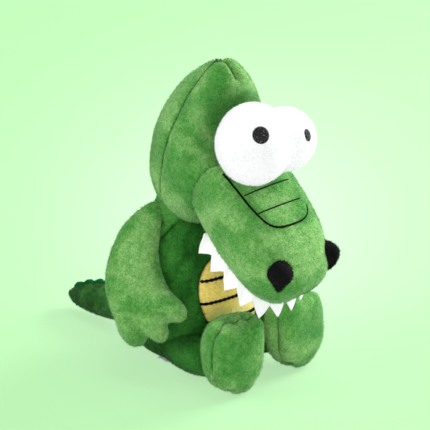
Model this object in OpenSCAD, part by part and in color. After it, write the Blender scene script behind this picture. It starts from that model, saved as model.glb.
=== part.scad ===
// A seated stuffed dinosaur: short-pile skins, each filled with loose fibre, sewn to a torso that
// sits on a bag of pellets. The origin is the middle of the flat seat, +Z is up and the face looks
// along -Y, so the dinosaur's own right side is at -X.

/* [Fabric] */
// Thickness of the short-pile plush fabric
skin_t = 2; // [1.2:0.1:3]
// Width of the care label
label_w = 10; // [8:1:16]
// Height of the care label
label_h = 6; // [5:0.5:9]
// Height of the middle of the care label above the floor
label_z = 4; // [3.5:0.5:8]
// Slack between a skin and the filling inside it
slack = 0.3; // [0.2:0.05:0.6]
// Gap between two skins that move against each other
joint_gap = 0.6; // [0.4:0.1:1]
// Thickness of the felt
felt_t = 1.4; // [0.8:0.1:2]
// Thickness of the embroidery thread standing on the fabric
thread_t = 0.8; // [0.5:0.1:1.2]

/* [Torso] */
// Width of the torso
torso_w = 96; // [88:1:104]
// Depth of the torso, front to back
torso_d = 110; // [100:1:118]
// Height of the torso with the plug that fills the neck
torso_h = 134; // [126:1:142]
// How far the seat is pressed flat
seat_press = 3; // [1:0.5:5]
// How far the side seams run behind the middle of the seat
side_seam_y = 1; // [0.5:0.5:4]
// Radius of the pellet bag in the seat
pellet_r = 26; // [18:1:32]

/* [Belly panel] */
// Width of the yellow belly panel
belly_w = 57; // [48:1:60]
// Height of the yellow belly panel
belly_h = 65; // [56:1:70]
// Height of the middle of the panel above the seat
belly_z = 58; // [54:1:62]
// Number of embroidered lines across the belly
belly_lines = 3; // [2:1:5]
// Distance between two belly lines
belly_pitch = 15; // [10:0.5:16]

/* [Head] */
// Width of the head
head_w = 78; // [70:1:84]
// Depth of the head, front to back
head_d = 86; // [72:1:86]
// Height of the crown above the floor
crown_z = 249; // [240:1:260]
// How far the crown leans forward of the neck
crown_lean = 46; // [34:1:50]
// Radius of the round neck joint
neck_r = 23; // [20:1:26]
// Height of the centre of the neck joint
neck_z = 114; // [110:1:118]

/* [Snout] */
// Width of the snout
snout_w = 81; // [74:1:86]
// Depth of the snout from its top to its underside
snout_d = 58; // [52:1:64]
// Length of the snout, with the end that is hidden in the face
snout_l = 129; // [122:1:138]
// Angle of the snout below the horizon
snout_droop = 45; // [42:1:48]
// Diameter of a nostril
nostril_dia = 19; // [16:1:22]

/* [Eyes] */
// Diameter of the right eye
eye_right_dia = 57; // [50:1:60]
// Height of the right eye
eye_right_h = 63; // [56:1:66]
// Diameter of the left eye
eye_left_dia = 49; // [44:1:54]
// Diameter of a pupil
pupil_dia = 12; // [8:1:14]

/* [Teeth] */
// Number of felt teeth round the mouth
teeth = 12; // [9:1:15]
// Height of one tooth below the felt band
tooth_h = 10.5; // [8:0.5:12]
// Height of the felt band that shows above the teeth at the front
tooth_band = 4.5; // [3:0.5:8]

/* [Arms] */
// Width of an arm across the palm
arm_w = 47.5; // [44:1:54]
// Thickness of an arm
arm_d = 30; // [24:1:32]
// Diameter of the outer finger
finger_dia = 25; // [21:1:27]

/* [Legs] */
// Diameter of a leg
leg_dia = 38; // [34:1:42]
// Width of a foot
foot_w = 48; // [46:1:54]
// Height of a foot
foot_h = 62; // [58:1:66]

/* [Tail] */
// Height of the tail at its thickest
tail_h = 29; // [26:1:34]
// Width of the tail at its thickest
tail_w = 28; // [24:1:32]
// Distance from the middle of the seat to the tip of the tail
tail_reach = 114; // [108:1:124]
// Height of a felt spike
spike_h = 3; // [2:0.5:6]
// Number of felt spikes along the tail
spikes = 6; // [4:1:8]

/* [Hidden] */

PLUSH = "#3f8f35";
PLUSH_DARK = "#2b6a26";
BELLY = "#cdb94f";
WHITE = "#f4f4f4";
BLACK = "#0d0d0d";
SPIKE = "#0a5f33";
FIBRE = "#e9e6dc";

// ---- Stuffed forms -------------------------------------------------------------------------
// A form is [start, bend, end, half width, half depth, fullness at start, fullness at end,
// squareness, side direction, sides, rings]. It swells along a bent spine and closes at both ends.

function unit(v) = v / norm(v);
function spine(f, t) = (1 - t) * (1 - t) * f[0] + 2 * t * (1 - t) * f[1] + t * t * f[2];
function heading(f, t) = unit((1 - t) * (f[1] - f[0]) + t * (f[2] - f[1]));
// Girth at t, as a share of the widest: blunt ends for a small fullness, pointed ends for a large one
function girth(t, p, q) = pow(t * (p + q) / p, p) * pow((1 - t) * (p + q) / q, q);
function rounded(c, n) = sign(c) * pow(abs(c), 2 / n);
// The point of a form at t along its spine and angle a round it, with the form shrunk by inset
function skin_point(f, t, a, inset) =
    let (along = heading(f, t), side = unit(f[8] - along * (f[8] * along)), up = cross(along, side),
        g = girth(t, f[5], f[6]))
    spine(f, t) + side * (f[3] - inset) * g * rounded(cos(a), f[7])
        + up * (f[4] - inset) * g * rounded(sin(a), f[7]);
// Shortens a form's spine by inset at both ends
function shortened(f, inset) =
    let (into = unit(f[1] - f[0]), out = unit(f[2] - f[1]))
    [f[0] + into * inset, f[1], f[2] - out * inset, f[3], f[4], f[5], f[6], f[7], f[8], f[9], f[10]];
function above(p, floor_z) = [p[0], p[1], max(p[2], floor_z)];
function ring_t(i, rings) = (1 - cos(180 * i / rings)) / 2;

// One closed stuffed form, shrunk by inset and pressed flat at floor_z
module stuffed(form, inset = 0, floor_z = 0) {
    f = shortened(form, inset);
    sides = f[9];
    rings = f[10];
    last = (rings - 1) * sides + 1;
    points = concat(
        [above(f[0], floor_z)],
        [for (i = [1:rings - 1], j = [0:sides - 1])
            above(skin_point(f, ring_t(i, rings), 360 * j / sides, inset), floor_z)],
        [above(f[2], floor_z)]);
    faces = concat(
        [for (j = [0:sides - 1]) [0, 1 + j, 1 + (j + 1) % sides]],
        [for (i = [0:rings - 3], j = [0:sides - 1], k = [0, 1])
            let (a = 1 + i * sides, b = a + sides, n = (j + 1) % sides)
            k == 0 ? [a + j, b + j, b + n] : [a + j, b + n, a + n]],
        [for (j = [0:sides - 1])
            let (a = 1 + (rings - 2) * sides) [last, a + (j + 1) % sides, a + j]]);
    polyhedron(points = points, faces = faces, convexity = 4);
}

// A form with left and right swapped
function mirrored(f) =
    [for (i = [0:12]) i < 3 || i == 8 ? [(i == 8 ? 1 : -1) * f[i][0], (i == 8 ? -1 : 1) * f[i][1], f[i][2]] : f[i]];

// A quick coarse copy of a form, for the cavity in a skin and the filling in the cavity
function coarse(f) = [f[0], f[1], f[2], f[3], f[4], f[5], f[6], f[7], f[8], f[11], f[12]];
// The point on the upper half of a form at t along it and x to the side
function on_top(f, x, t) =
    let (c = x / (f[3] * girth(t, f[5], f[6])))
    skin_point(f, t, acos(sign(c) * pow(abs(c), f[7] / 2)), 0);

module cavity(form, floor_z = 0) {
    stuffed(coarse(form), skin_t, floor_z + skin_t);
}

module filling(form, floor_z = 0) {
    stuffed(coarse(form), skin_t + slack, floor_z + skin_t + slack);
}

module turned(at, axis, angle) {
    translate(at) rotate(a = angle, v = axis) translate(-at) children();
}

// What a limb must leave free when it turns about an axis from low to high
module swept(at, axis, low, high) {
    for (angle = [low, 0, high / 2, high]) turned(at, axis, -angle) children();
}

// A rope of thread along points that lie on the fabric
module rope(points, dia) {
    for (i = [0:len(points) - 2]) hull() {
        translate(points[i]) sphere(d = dia, $fn = 5);
        translate(points[i + 1]) sphere(d = dia, $fn = 5);
    }
}

// ---- The forms of this toy -------------------------------------------------------------------

side_x = [1, 0, 0];
neck = [0, -6, neck_z];
nod_up = -8;
nod_down = 3;
torso_form = [[0, -18, -seat_press], [0, -13, torso_h * 0.45], [0, -5, torso_h],
    torso_w / 2, torso_d / 2, 0.5, 0.95, 2, side_x, 24, 12, 12, 6];

head_base = [0, -10, 111];
crown = [0, head_base[1] - crown_lean, crown_z];
head_form = [head_base, [0, -44, 186], crown, head_w / 2, head_d / 2, 0.5, 0.76, 2, side_x,
    24, 12, 12, 6];

snout_along = [0, -cos(snout_droop), -sin(snout_droop)];
snout_up = [0, -sin(snout_droop), cos(snout_droop)];
snout_start = [0, -42, 173];
snout_end = snout_start + snout_along * snout_l;
snout_form = [snout_start, (snout_start + snout_end) / 2, snout_end, snout_w / 2, snout_d / 2, 0.3, 0.3, 3,
    side_x, 24, 12, 12, 6];
// Depth of the mouth seam below the snout's middle
mouth_n = -22;

function ball_form(at, across, high) =
    [at - [0, 0, high / 2], at, at + [0, 0, high / 2], across / 2, across / 2, 0.5, 0.5, 2, side_x, 18, 9, 8, 5];
eye_right_form = ball_form([-16, -98, 195], eye_right_dia, eye_right_h);
eye_left_form = ball_form([15.5, -98, 190], eye_left_dia, eye_left_dia);

shoulder = [-14, 0, 119];
elbow = [-60.5, 10, 79.5];
hand = [-52, -33, 40];
arm_side = unit([0.45, -0.89, 0]);
arm_axis = [0, 1, 0];
arm_pivot = [-30, 0, 108];
arm_in = -2;
arm_out = 30;
arm_form = [shoulder, elbow, hand, arm_w / 2, arm_d / 2, 0.53, 0.13, 2.2, arm_side, 16, 12, 10, 6];

hip = [-26, -30, 24];
leg_form = [[-22, -18, 23], [-29, -45, 22], [-35, -88, 26], leg_dia / 2, leg_dia / 2, 0.3, 0.3, 2, side_x,
    16, 6, 8, 4];
foot_right_form = [[-29, -73, 30], [-32, -92, 31], [-34, -108, 31], foot_w / 2, foot_h / 2, 0.26, 0.18, 2.3,
    unit([1, -0.3, 0]), 18, 8, 10, 5];
foot_left_form = [[34, -72, 30], [36, -88, 31], [37, -104, 31], foot_w / 2, foot_h / 2, 0.26, 0.18, 2.3,
    unit([1, 0.1, 0]), 18, 8, 10, 5];

tail_pivot = [0, 44, 22];
tail_form = [[0, 22, 24], [0, tail_reach * 0.62, 18], [0, tail_reach, 10], tail_w / 2, tail_h / 2, 0.3, 0.5, 2,
    side_x, 16, 8, 8, 5];

// ---- Torso ------------------------------------------------------------------------------------

module torso_whole(inset = 0) { stuffed(torso_form, inset); }
module torso_skin() {
    difference() {
        stuffed(torso_form);
        cavity(torso_form);
        translate(neck) sphere(r = neck_r, $fn = 24);
    }
}
module front_half() { translate([-80, side_seam_y - 160, -1]) cube([160, 160, 160]); }
module back_half() { translate([-80, side_seam_y, -1]) cube([160, 160, 160]); }
module belly_oval() {
    translate([0, -10, belly_z]) rotate([90, 0, 0]) scale([belly_w / belly_h, 1, 1])
        cylinder(d = belly_h, h = 60, $fn = 32);
}

module torso_front() color(PLUSH) difference() {
    intersection() { torso_skin(); front_half(); }
    belly_oval();
}
module torso_back() color(PLUSH) intersection() { torso_skin(); back_half(); }
module belly_panel() color(BELLY) intersection() { torso_skin(); belly_oval(); }

// A point on the front of the torso at height z and x to the side
function on_belly(x, z) =
    let (t = (z + seat_press) / (torso_h + seat_press),
        c = x / (torso_form[3] * girth(t, torso_form[5], torso_form[6])))
    skin_point(torso_form, t, -acos(c), 0);
function belly_half(z) = belly_w / 2 * sqrt(max(0, 1 - pow((z - belly_z) / (belly_h / 2), 2)));
module belly_lines() color(BLACK) difference() {
    union() {
        for (i = [0:belly_lines - 1]) {
            z = belly_z + (i - (belly_lines - 1) / 2) * belly_pitch + 2.5;
            half = belly_half(z) - 1;
            rope([for (k = [0:8]) on_belly(half * (k / 4 - 1), z)], 2 * thread_t);
        }
    }
    torso_whole();
}

module torso_filling() color(FIBRE) difference() {
    filling(torso_form);
    translate(neck) sphere(r = neck_r + slack, $fn = 24);
    translate(pellets) sphere(r = pellet_r + slack, $fn = 16);
}
pellets = [0, -14, pellet_r + skin_t + 2 * slack];
module pellet_bag() color("#c9c2b2") translate(pellets) sphere(r = pellet_r, $fn = 16);
// The care label is sewn into the seam under the right side
module care_label() color("#d9dcda") difference() {
    translate([-27.5, -17, label_z]) rotate([0, 0, -90]) cube([label_w, 0.8, label_h], center = true);
    torso_whole();
}

// ---- Neck and head ------------------------------------------------------------------------------

// The neck is sewn to the torso and stands in the rounded hollow under the head
module neck_plug() color(PLUSH) difference() {
    translate(neck) sphere(r = neck_r, $fn = 24);
    translate(neck - [0, 0, 2 * neck_r]) cylinder(r = neck_r, h = neck_r, $fn = 32);
}

module head_whole(inset = 0) {
    difference() {
        stuffed(head_form, inset);
        translate(neck) sphere(r = neck_r + joint_gap - inset, $fn = 24);
        swept(neck, side_x, nod_up, nod_down) stuffed(torso_form, -joint_gap);
    }
}
module head_skin() {
    difference() {
        head_whole();
        cavity(head_form);
    }
}
// The side seams of the head run down both sides near the middle, from the crown to the neck
module head_front_cut() { translate([-80, -200, 90]) rotate([16.1, 0, 0]) cube([160, 191.4, 200]); }
module head_front() color(PLUSH) intersection() { head_skin(); head_front_cut(); }
module head_back() color(PLUSH) difference() { head_skin(); head_front_cut(); }
module head_filling() color(FIBRE) difference() {
    filling(head_form);
    translate(neck) sphere(r = neck_r + joint_gap + 2, $fn = 24);
}

// ---- Snout --------------------------------------------------------------------------------------

module snout_whole() { stuffed(snout_form); }
module snout_skin() {
    difference() {
        snout_whole();
        cavity(snout_form);
        stuffed(head_form);
    }
}
// Everything below the mouth seam
module below_mouth(drop = 0) {
    translate(snout_start + snout_up * (mouth_n - drop)) rotate([snout_droop, 0, 0])
        translate([-80, -200, -80]) cube([160, 260, 80]);
}
module snout_cover() color(PLUSH) difference() { snout_skin(); below_mouth(); }
module snout_underside() color(PLUSH_DARK) intersection() { snout_skin(); below_mouth(); }
module snout_filling() color(FIBRE) difference() {
    filling(snout_form);
    stuffed(head_form, -slack);
}

// The smile lines: one U and two bars across it, on the top of the snout
u_half = 28.5;
u_shift = 2;
function u_point(k) =
    on_top(snout_form, u_shift + u_half * sign(k) * pow(abs(sin(7.5 * k)), 0.77),
        0.27 + 0.385 * (1 - pow(abs(k) / 12, 2.6)));
module snout_lines() color(BLACK) difference() {
    union() {
        rope([for (k = [-12:2:10]) u_point(k)], 2.4 * thread_t);
        for (t = [0.395, 0.525])
            rope([for (k = [-3:3]) on_top(snout_form, u_half * k / 3.3, t)], 1.6 * thread_t);
    }
    snout_whole();
}

// ---- Eyes ---------------------------------------------------------------------------------------

module eyes_free() {
    stuffed(head_form);
    stuffed(snout_form);
}
module eye_right() color(WHITE) difference() {
    stuffed(eye_right_form);
    cavity(eye_right_form);
    eyes_free();
}
module eye_left() color(WHITE) difference() {
    stuffed(eye_left_form);
    cavity(eye_left_form);
    stuffed(eye_right_form);
    eyes_free();
}
module eye_right_filling() color(FIBRE) difference() {
    filling(eye_right_form);
    stuffed(head_form, -slack);
    stuffed(snout_form, -slack);
}
module eye_left_filling() color(FIBRE) difference() {
    filling(eye_left_form);
    stuffed(eye_right_form, -slack);
    stuffed(head_form, -slack);
    stuffed(snout_form, -slack);
}
// A pupil is an embroidered disc that stands on the eye in direction d
module pupil(form, d, dia, across = 1) {
    difference() {
        translate(form[1]) rotate([0, acos(d[2]), atan2(d[1], d[0])])
            translate([0, 0, form[3] - 3]) scale([1, across, 1]) cylinder(d = dia, h = 6, $fn = 24);
        stuffed(form);
        difference() {
            translate(form[1] - [60, 60, 60]) cube(120);
            stuffed(form, -thread_t);
        }
    }
}
module pupil_right() color(BLACK) pupil(eye_right_form, [-0.438, -0.702, 0.56], pupil_dia);
module pupil_left() color(BLACK) pupil(eye_left_form, unit([0.12, -0.93, 0.36]), pupil_dia * 0.75, 0.65);

// ---- Nostrils and teeth --------------------------------------------------------------------------

nostril_at = [-23, -132, 104.5];
nostril_out = unit([-0.45, -0.88, 0.12]);
nostril_form = [nostril_at - nostril_out * 8, nostril_at, nostril_at + nostril_out * 15, nostril_dia / 2,
    nostril_dia / 2, 0.3, 0.45, 2, unit([0.88, -0.45, 0]), 12, 6, 8, 4];
module nostril_right() color(BLACK) difference() { stuffed(nostril_form); snout_whole(); }
module nostril_left() color(BLACK) difference() { stuffed(mirrored(nostril_form)); snout_whole(); }

// The teeth are one strip of felt caught in the mouth seam
// A point on the mouth seam at angle a round it, 90 at the front
mouth_half = snout_w / 2 - 3.5;
mouth_start = 50;
mouth_l = 71;
function mouth_point(a, out = 0) =
    snout_start + snout_along * (mouth_start + (mouth_l + out) * rounded(sin(a), 3))
        + side_x * (mouth_half + out) * rounded(cos(a), 3) + snout_up * (mouth_n + 3);
function tooth_down(a) = unit([0, 0, -1] * sin(a) - snout_up * abs(cos(a)));
// The length of the seam up to angle a, and the angle at a share of the whole length
function seam_run(a) = a <= 0 ? 0 : seam_run(a - 3) + norm(mouth_point(a) - mouth_point(a - 3));
seam_table = [for (a = [0:3:180]) [seam_run(a) / seam_run(180), a]];
function seam_angle(share) = lookup(share, seam_table);
// The four corners of the strip at a share of the seam: its top is caught in the seam
function strip_corners(share, length) =
    let (a = seam_angle(share), down = tooth_down(a))
    [mouth_point(a, -felt_t) - down * 3, mouth_point(a, 0) - down * 3,
        mouth_point(a, 1) + down * length, mouth_point(a, 1 - felt_t) + down * length];
module teeth_strip() color(WHITE) difference() {
    stations = 2 * teeth;
    points = [for (i = [0:stations])
        each strip_corners(i / stations, tooth_band + (i % 2) * tooth_h)];
    sides = [for (i = [0:stations - 1], k = [0:3], half = [0, 1])
        let (a = 4 * i + k, b = 4 * i + (k + 1) % 4)
        half == 0 ? [a, b, b + 4] : [a, b + 4, a + 4]];
    last = 4 * stations;
    ends = [[0, 2, 1], [0, 3, 2], [last, last + 1, last + 2], [last, last + 2, last + 3]];
    polyhedron(points = points, faces = concat(sides, ends), convexity = 6);
    snout_whole();
}

// ---- Arms ---------------------------------------------------------------------------------------

// Each arm is one mitten with three fingers: outer, middle and inner
function finger(at, tip, dia) = [at, (at + tip) / 2, tip, dia / 2, dia / 2 * 0.9, 0.4, 0.4, 2, side_x, 10, 5, 8, 4];
outer_finger = finger([-66, -12, 62], [-62.5, -25.5, 26], finger_dia);
middle_finger = finger([-60, -25, 60], [-56.5, -45.5, 33.5], finger_dia * 0.72);
inner_finger = finger([-56, -30, 68], [-42, -53.5, 50], finger_dia * 0.74);

module arm_whole(inset = 0) {
    stuffed(arm_form, inset);
    stuffed(outer_finger, inset);
    stuffed(middle_finger, inset);
    stuffed(inner_finger, inset);
}
// What the arm keeps clear of while it swings
module arm_free(gap) {
    swept(arm_pivot, arm_axis, arm_in, arm_out) {
        stuffed(torso_form, -gap);
        translate(neck) sphere(r = neck_r + gap, $fn = 24);
        stuffed(head_form, -gap);
    }
}
module arm_skin() difference() {
    arm_whole();
    stuffed(coarse(arm_form), skin_t);
    arm_free(joint_gap);
}
module arm_fill() difference() {
    stuffed(coarse(arm_form), skin_t + slack);
    arm_free(joint_gap);
}
module arm_right() color(PLUSH) arm_skin();
module arm_left() color(PLUSH) mirror([1, 0, 0]) arm_skin();
module arm_right_filling() color(FIBRE) arm_fill();
module arm_left_filling() color(FIBRE) mirror([1, 0, 0]) arm_fill();

// ---- Legs and feet ------------------------------------------------------------------------------

leg_in = -3;
leg_out = 8;
module leg_free(gap) {
    swept(hip, [0, 0, -1], leg_in, leg_out) stuffed(torso_form, -gap);
}
module leg_skin(form, foot) difference() {
    stuffed(form);
    cavity(form);
    stuffed(foot);
    leg_free(joint_gap);
}
module leg_fill(form, foot) difference() {
    filling(form);
    stuffed(foot, -slack);
    leg_free(joint_gap);
}
left_leg_form = [[22, -18, 23], [29, -45, 22], [37, -84, 26], leg_dia / 2, leg_dia / 2, 0.3, 0.3, 2, side_x,
    16, 6, 8, 4];
module leg_right() color(PLUSH) leg_skin(leg_form, foot_right_form);
module leg_right_filling() color(FIBRE) leg_fill(leg_form, foot_right_form);
module leg_left() color(PLUSH) mirror([1, 0, 0]) leg_skin(mirrored(left_leg_form), mirrored(foot_left_form));
module leg_left_filling() color(FIBRE)
    mirror([1, 0, 0]) leg_fill(mirrored(left_leg_form), mirrored(foot_left_form));

// The sole is a panel of its own, sewn to the foot round its edge
module sole_cut(foot) {
    translate(foot[2]) rotate([0, 0, atan2(foot[8][1], foot[8][0])])
        translate([-60, -52, -60]) cube([120, 60, 120]);
}
module foot_skin(foot) difference() {
    stuffed(foot);
    cavity(foot);
    leg_free(joint_gap);
}
module foot_right() color(PLUSH) difference() { foot_skin(foot_right_form); sole_cut(foot_right_form); }
module sole_right() color(PLUSH) intersection() { foot_skin(foot_right_form); sole_cut(foot_right_form); }
foot_left_mirrored = mirrored(foot_left_form);
module foot_left() color(PLUSH) mirror([1, 0, 0])
    difference() { foot_skin(foot_left_mirrored); sole_cut(foot_left_mirrored); }
module sole_left() color(PLUSH) mirror([1, 0, 0])
    intersection() { foot_skin(foot_left_mirrored); sole_cut(foot_left_mirrored); }
module foot_right_filling() color(FIBRE) filling(foot_right_form);
module foot_left_filling() color(FIBRE) filling(foot_left_form);

// ---- Tail ---------------------------------------------------------------------------------------

tail_side = 12;
module tail_free(gap) {
    swept(tail_pivot, [0, 0, 1], -tail_side, tail_side) stuffed(torso_form, -gap);
}
module tail_cover() color(PLUSH_DARK) difference() {
    stuffed(tail_form);
    cavity(tail_form);
    tail_free(joint_gap);
}
module tail_filling() color(FIBRE) difference() {
    filling(tail_form);
    tail_free(joint_gap);
}
// The spikes are one wavy strip of felt caught in the seam along the top of the tail
function tail_top(t) = skin_point(tail_form, t, -90, 0);
module tail_spikes() color(SPIKE) difference() {
    union() {
        for (i = [0:spikes - 1]) {
            low = 0.46 + 0.44 * i / spikes;
            high = 0.46 + 0.44 * (i + 1) / spikes;
            hull() {
                translate(tail_top(low)) sphere(d = felt_t, $fn = 4);
                translate(tail_top(high)) sphere(d = felt_t, $fn = 4);
                translate(tail_top((low + high) / 2) + [0, 2, spike_h]) sphere(d = felt_t, $fn = 4);
            }
        }
    }
    stuffed(tail_form);
}

// ---- What is drawn --------------------------------------------------------------------------------

torso_front();
belly_panel();
torso_back();
belly_lines();
torso_filling();
pellet_bag();
care_label();
neck_plug();
head_front();
head_back();
head_filling();
snout_cover();
snout_underside();
snout_filling();
snout_lines();
eye_right();
eye_left();
eye_right_filling();
eye_left_filling();
pupil_right();
pupil_left();
nostril_right();
nostril_left();
teeth_strip();
arm_right();
arm_left();
arm_right_filling();
arm_left_filling();
leg_right();
leg_left();
leg_right_filling();
leg_left_filling();
foot_right();
foot_left();
sole_right();
sole_left();
foot_right_filling();
foot_left_filling();
tail_cover();
tail_filling();
tail_spikes();
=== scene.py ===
import bpy, bmesh, math, random
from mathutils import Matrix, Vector, noise
from mathutils.bvhtree import BVHTree


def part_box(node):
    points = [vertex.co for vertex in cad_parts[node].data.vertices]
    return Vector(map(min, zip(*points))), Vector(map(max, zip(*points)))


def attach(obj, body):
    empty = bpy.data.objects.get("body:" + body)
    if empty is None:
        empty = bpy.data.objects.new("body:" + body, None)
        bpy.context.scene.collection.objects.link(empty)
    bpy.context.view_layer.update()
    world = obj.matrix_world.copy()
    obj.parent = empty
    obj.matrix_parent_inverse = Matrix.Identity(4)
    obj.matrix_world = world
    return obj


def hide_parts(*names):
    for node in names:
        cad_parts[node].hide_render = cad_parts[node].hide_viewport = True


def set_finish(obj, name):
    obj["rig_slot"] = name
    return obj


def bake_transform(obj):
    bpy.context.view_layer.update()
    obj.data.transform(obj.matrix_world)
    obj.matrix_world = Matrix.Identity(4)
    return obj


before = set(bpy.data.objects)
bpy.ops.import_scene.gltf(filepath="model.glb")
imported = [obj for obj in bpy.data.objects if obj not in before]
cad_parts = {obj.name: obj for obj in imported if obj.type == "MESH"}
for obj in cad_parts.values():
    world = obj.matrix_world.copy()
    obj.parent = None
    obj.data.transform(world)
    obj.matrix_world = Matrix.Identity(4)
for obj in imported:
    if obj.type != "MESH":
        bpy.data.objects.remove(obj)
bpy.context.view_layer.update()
scene = bpy.context.scene
random.seed(7)
MM = 0.001


# ---- Camera -------------------------------------------------------------------------------------
# A long lens from the toy's front right, a little above. It is far off, so the toy keeps the
# proportions that it has in a catalogue picture.
def mm(*p):
    return Vector(p) * MM

aim = mm(47, 5, 91.1)
to_camera = Vector((-0.6555, -0.6555, 0.3746)).normalized()
camera_data = bpy.data.cameras.new("camera")
camera_data.sensor_width = 36
camera_data.lens = 36 * 8000 / 322.5
camera_data.clip_end = 40
camera = bpy.data.objects.new("camera", camera_data)
scene.collection.objects.link(camera)
camera.location = aim + to_camera * 8
camera.rotation_euler = to_camera.to_track_quat("Z", "Y").to_euler()
scene.camera = camera


# ---- Floor and light ----------------------------------------------------------------------------
# A pale green studio sweep under soft, even light: a bright room all round, a soft box on either
# side and overhead, and a low fill in front. The right one is the strongest and lights the rims.
def linear(hex_colour):
    def one(c):
        c /= 255
        return c / 12.92 if c <= 0.04045 else ((c + 0.055) / 1.055) ** 2.4
    h = hex_colour.lstrip("#")
    return tuple(one(int(h[i:i + 2], 16)) for i in (0, 2, 4)) + (1.0,)


def add(tree, kind, settings=None, **links):
    """Adds one shader node: settings are its own attributes, links its inputs, as values or as sockets."""
    node = tree.nodes.new(kind)
    for name, value in (settings or {}).items():
        setattr(node, name, value)
    for name, value in links.items():
        key = int(name[1:]) if name[0] == "_" else name.replace("_", " ")
        socket = node.inputs[key]
        if isinstance(value, bpy.types.NodeSocket):
            tree.links.new(value, socket)
        else:
            socket.default_value = value
    return node


def new_material(name):
    material = bpy.data.materials.new(name)
    material.use_nodes = True
    material.node_tree.nodes.clear()
    return material, material.node_tree


def blend_colours(tree, share, low, high):
    node = add(tree, "ShaderNodeMix", {"data_type": "RGBA"}, _0=share, _6=low, _7=high)
    return node.outputs[2]


def place_piece(name, bm):
    """Makes a finished bmesh into an object in the scene."""
    mesh = bpy.data.meshes.new(name)
    bm.to_mesh(mesh)
    bm.free()
    piece = bpy.data.objects.new(name, mesh)
    scene.collection.objects.link(piece)
    return piece


SWEEP_GREEN = "#c0f7b8"
paper, t = new_material("painted sweep, pale green matte")
coords = add(t, "ShaderNodeTexCoord").outputs["Object"]
middle = add(t, "ShaderNodeMapping", {"vector_type": "TEXTURE"}, Vector=coords, Location=(0.2, 0.14, 0),
             Rotation=(0, 0, math.radians(-45)), Scale=(0.25, 0.54, 1)).outputs[0]
# Painted light: the sweep grows lighter towards a spot in the middle, a painted pool of light.
glow = add(t, "ShaderNodeTexGradient", {"gradient_type": "QUADRATIC_SPHERE"}, Vector=middle).outputs["Fac"]
tone = blend_colours(t, glow, linear(SWEEP_GREEN), linear("#e6fce7"))
seen = add(t, "ShaderNodeLightPath").outputs["Is Camera Ray"]
half_seen = add(t, "ShaderNodeMath", {"operation": "MULTIPLY"}, _0=seen, _1=0.72).outputs[0]
bounce = blend_colours(t, seen, (0.72, 0.72, 0.72, 1), tone)
lit = add(t, "ShaderNodeBsdfDiffuse", Color=bounce).outputs[0]
bright = add(t, "ShaderNodeEmission", Color=tone, Strength=1.0).outputs[0]
sweep = add(t, "ShaderNodeMixShader", _0=half_seen, _1=lit, _2=bright)
add(t, "ShaderNodeOutputMaterial", Surface=sweep.outputs[0])
bm = bmesh.new()
bmesh.ops.create_grid(bm, x_segments=1, y_segments=1, size=6)
floor = place_piece("floor", bm)
floor.data.materials.append(paper)

world = bpy.data.worlds.new("studio")
scene.world = world
world.use_nodes = True
t = world.node_tree
t.nodes.clear()
rays = add(t, "ShaderNodeLightPath")
sky = add(t, "ShaderNodeBackground", Color=(1, 1, 1, 1), Strength=0.44).outputs[0]
backdrop = add(t, "ShaderNodeBackground", Color=linear(SWEEP_GREEN), Strength=1.0).outputs[0]
shown = add(t, "ShaderNodeMath", {"operation": "MAXIMUM"}, _0=rays.outputs["Is Camera Ray"],
            _1=rays.outputs["Is Transmission Ray"]).outputs[0]
room = add(t, "ShaderNodeMixShader", _0=shown, _1=sky, _2=backdrop).outputs[0]
add(t, "ShaderNodeOutputWorld", Surface=room)
scene.view_settings.view_transform = "Standard"


def soft_lamp(name, place, size, power):
    data = bpy.data.lights.new(name, "AREA")
    data.size = size
    data.energy = power
    lamp = bpy.data.objects.new(name, data)
    scene.collection.objects.link(lamp)
    lamp.location = place
    lamp.rotation_euler = (Vector(place) - mm(0, -40, 120)).to_track_quat("Z", "Y").to_euler()


soft_lamp("left softbox", (-1.05, 0.65, 0.7), 0.7, 9.0)
soft_lamp("right softbox", (1.2, -0.3, 0.7), 0.7, 27.0)
soft_lamp("overhead softbox", (0.2, -0.1, 1.4), 0.8, 5.0)
soft_lamp("front fill", (-0.75, -1.15, 0.12), 0.9, 8.5)


# ---- Torso --------------------------------------------------------------------------------------
# The torso is a bag of short-pile plush in two panels, front and back, sewn inside out down the
# sides, turned and stuffed. It stands on a bag of pellets, which flattens the seat.
SHOULDER_SEAM = (-0.44, 0.578, -0.688)


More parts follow.
